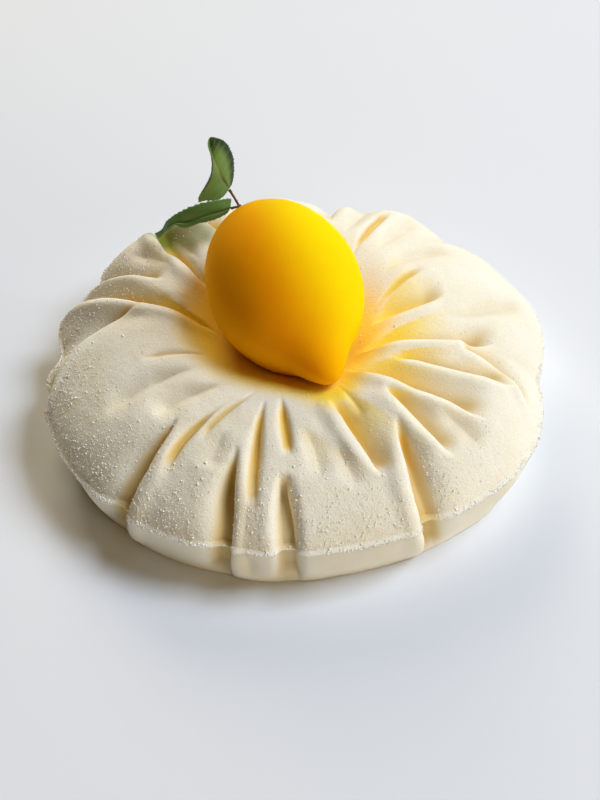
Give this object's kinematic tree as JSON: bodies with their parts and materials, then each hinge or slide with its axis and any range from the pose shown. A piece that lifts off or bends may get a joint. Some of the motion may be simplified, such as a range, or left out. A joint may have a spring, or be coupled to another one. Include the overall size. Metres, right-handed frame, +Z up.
{
  "type": "entremet cake",
  "caption": "Round pleated cushion of white mousse on a flat base, with a moulded lemon resting in its hollow and leaves on a short twig.",
  "frame": {"origin": "centre of the cake's flat underside, on the face it rests on", "axes": "+Z up, -Y to the front of the cake, where the lemon's tip points, +X to the right seen from the front"},
  "size_m": [0.1783, 0.1798, 0.0932],
  "materials": {
    "velvet_mousse": "velvet sprayed, matte and sandy",
    "velvet_lemon": "velvet sprayed, matte and fine",
    "bark": "matte",
    "leaf": "waxy, half matte"
  },
  "bodies": {
    "root": {"mousse_cushion": "velvet_mousse", "lemon": "velvet_lemon", "twig": "bark", "leaf_upright": "leaf", "leaf_drooping": "leaf"}
  },
  "joints": []
}
